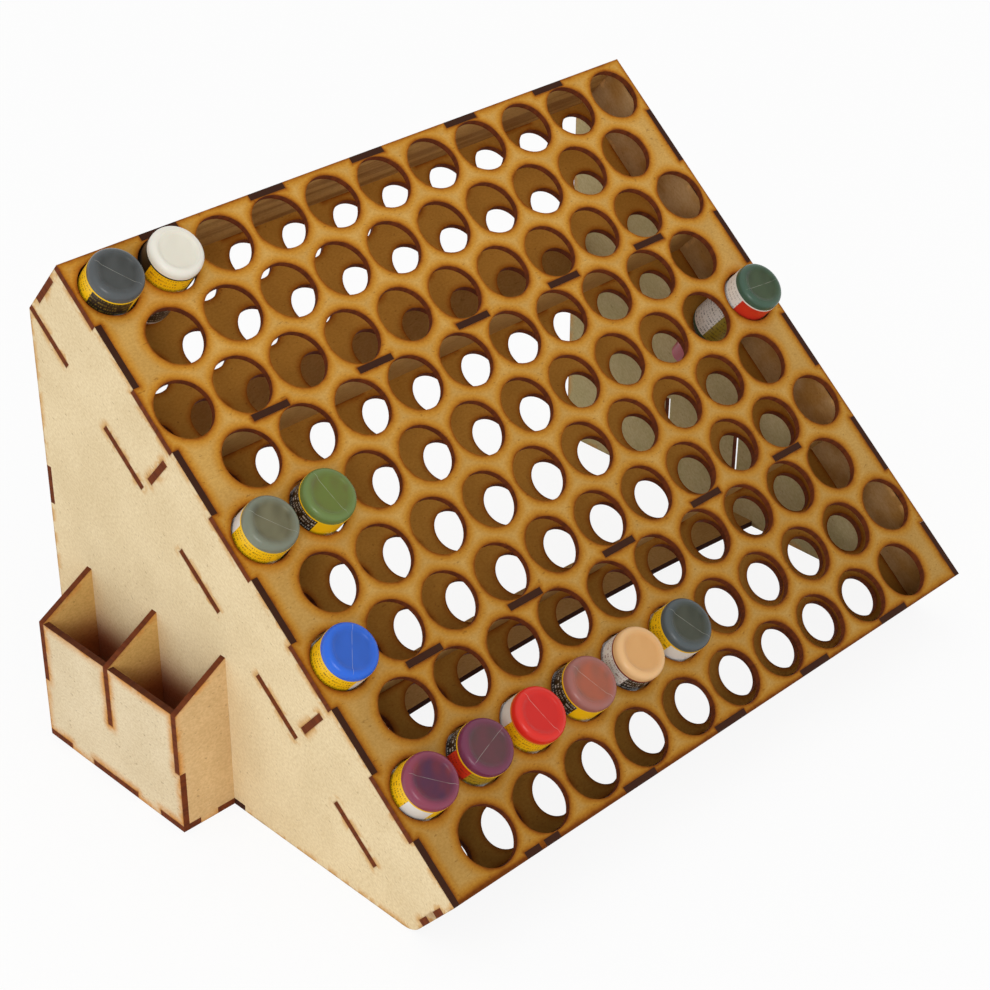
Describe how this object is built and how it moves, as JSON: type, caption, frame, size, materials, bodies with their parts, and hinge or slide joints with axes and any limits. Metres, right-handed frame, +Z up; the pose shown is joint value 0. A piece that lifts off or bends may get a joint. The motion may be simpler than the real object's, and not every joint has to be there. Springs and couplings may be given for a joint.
{
  "type": "hobby workstation organizer",
  "caption": "Sloping laser-cut fibreboard rack that holds upside-down paint bottles in rows of round holes, with a divided tool holder on its left side.",
  "frame": {"origin": "on the ground, in the middle of the whole object's footprint box, which counts the tool holder and the caps behind the rack", "axes": "+X along the rack's width, away from the tool holder; +Y to the back; +Z up"},
  "size_m": [0.3576, 0.2586, 0.2254],
  "materials": {
    "fibreboard": "bare thin fibreboard, laser cut, edges burnt brown",
    "paint_dark_grey": "translucent plastic, filled with dark grey paint",
    "paint_ivory": "translucent plastic, filled with ivory paint",
    "paint_grey_green": "translucent plastic, filled with grey green paint",
    "paint_leaf_green": "translucent plastic, filled with leaf green paint",
    "paint_dark_green": "translucent plastic, filled with dark green paint",
    "paint_blue": "translucent plastic, filled with blue paint",
    "paint_crimson": "translucent plastic, filled with crimson paint",
    "paint_violet_grey": "translucent plastic, filled with violet grey paint",
    "paint_red": "translucent plastic, filled with red paint",
    "paint_rose_brown": "translucent plastic, filled with rose brown paint",
    "paint_peach": "translucent plastic, filled with peach paint",
    "paint_slate_blue": "translucent plastic, filled with slate blue paint",
    "cap_plastic": "white moulded cap"
  },
  "bodies": {
    "rack": {"front_panel": "fibreboard", "inner_panel": "fibreboard", "left_side": "fibreboard", "right_side": "fibreboard", "top_rail": "fibreboard", "upper_divider": "fibreboard", "lower_divider": "fibreboard", "bottom_rail": "fibreboard", "back_brace": "fibreboard", "base_plate": "fibreboard", "holder_outer_plate": "fibreboard", "holder_rear_plate": "fibreboard", "holder_divider": "fibreboard", "holder_front_plate": "fibreboard", "holder_floor": "fibreboard"},
    "bottle_body_01": {"bottle_01": "paint_dark_grey", "cap_01": "cap_plastic"},
    "bottle_body_02": {"bottle_02": "paint_ivory", "cap_02": "cap_plastic"},
    "bottle_body_03": {"bottle_03": "paint_grey_green", "cap_03": "cap_plastic"},
    "bottle_body_04": {"bottle_04": "paint_leaf_green", "cap_04": "cap_plastic"},
    "bottle_body_05": {"bottle_05": "paint_dark_green", "cap_05": "cap_plastic"},
    "bottle_body_06": {"bottle_06": "paint_blue", "cap_06": "cap_plastic"},
    "bottle_body_07": {"bottle_07": "paint_crimson", "cap_07": "cap_plastic"},
    "bottle_body_08": {"bottle_08": "paint_violet_grey", "cap_08": "cap_plastic"},
    "bottle_body_09": {"bottle_09": "paint_red", "cap_09": "cap_plastic"},
    "bottle_body_10": {"bottle_10": "paint_rose_brown", "cap_10": "cap_plastic"},
    "bottle_body_11": {"bottle_11": "paint_peach", "cap_11": "cap_plastic"},
    "bottle_body_12": {"bottle_12": "paint_slate_blue", "cap_12": "cap_plastic"}
  },
  "joints": [
    {"name": "bottle_01_lift", "type": "slide", "parent": "rack", "child": "bottle_body_01", "axis": [0, -0.6452, 0.764], "range_m": [0, 0.062]},
    {"name": "bottle_02_lift", "type": "slide", "parent": "rack", "child": "bottle_body_02", "axis": [0, -0.6452, 0.764], "range_m": [0, 0.062]},
    {"name": "bottle_03_lift", "type": "slide", "parent": "rack", "child": "bottle_body_03", "axis": [0, -0.6452, 0.764], "range_m": [0, 0.062]},
    {"name": "bottle_04_lift", "type": "slide", "parent": "rack", "child": "bottle_body_04", "axis": [0, -0.6452, 0.764], "range_m": [0, 0.062]},
    {"name": "bottle_05_lift", "type": "slide", "parent": "rack", "child": "bottle_body_05", "axis": [0, -0.6452, 0.764], "range_m": [0, 0.062]},
    {"name": "bottle_06_lift", "type": "slide", "parent": "rack", "child": "bottle_body_06", "axis": [0, -0.6452, 0.764], "range_m": [0, 0.062]},
    {"name": "bottle_07_lift", "type": "slide", "parent": "rack", "child": "bottle_body_07", "axis": [0, -0.6452, 0.764], "range_m": [0, 0.062]},
    {"name": "bottle_08_lift", "type": "slide", "parent": "rack", "child": "bottle_body_08", "axis": [0, -0.6452, 0.764], "range_m": [0, 0.062]},
    {"name": "bottle_09_lift", "type": "slide", "parent": "rack", "child": "bottle_body_09", "axis": [0, -0.6452, 0.764], "range_m": [0, 0.062]},
    {"name": "bottle_10_lift", "type": "slide", "parent": "rack", "child": "bottle_body_10", "axis": [0, -0.6452, 0.764], "range_m": [0, 0.062]},
    {"name": "bottle_11_lift", "type": "slide", "parent": "rack", "child": "bottle_body_11", "axis": [0, -0.6452, 0.764], "range_m": [0, 0.062]},
    {"name": "bottle_12_lift", "type": "slide", "parent": "rack", "child": "bottle_body_12", "axis": [0, -0.6452, 0.764], "range_m": [0, 0.062]}
  ]
}
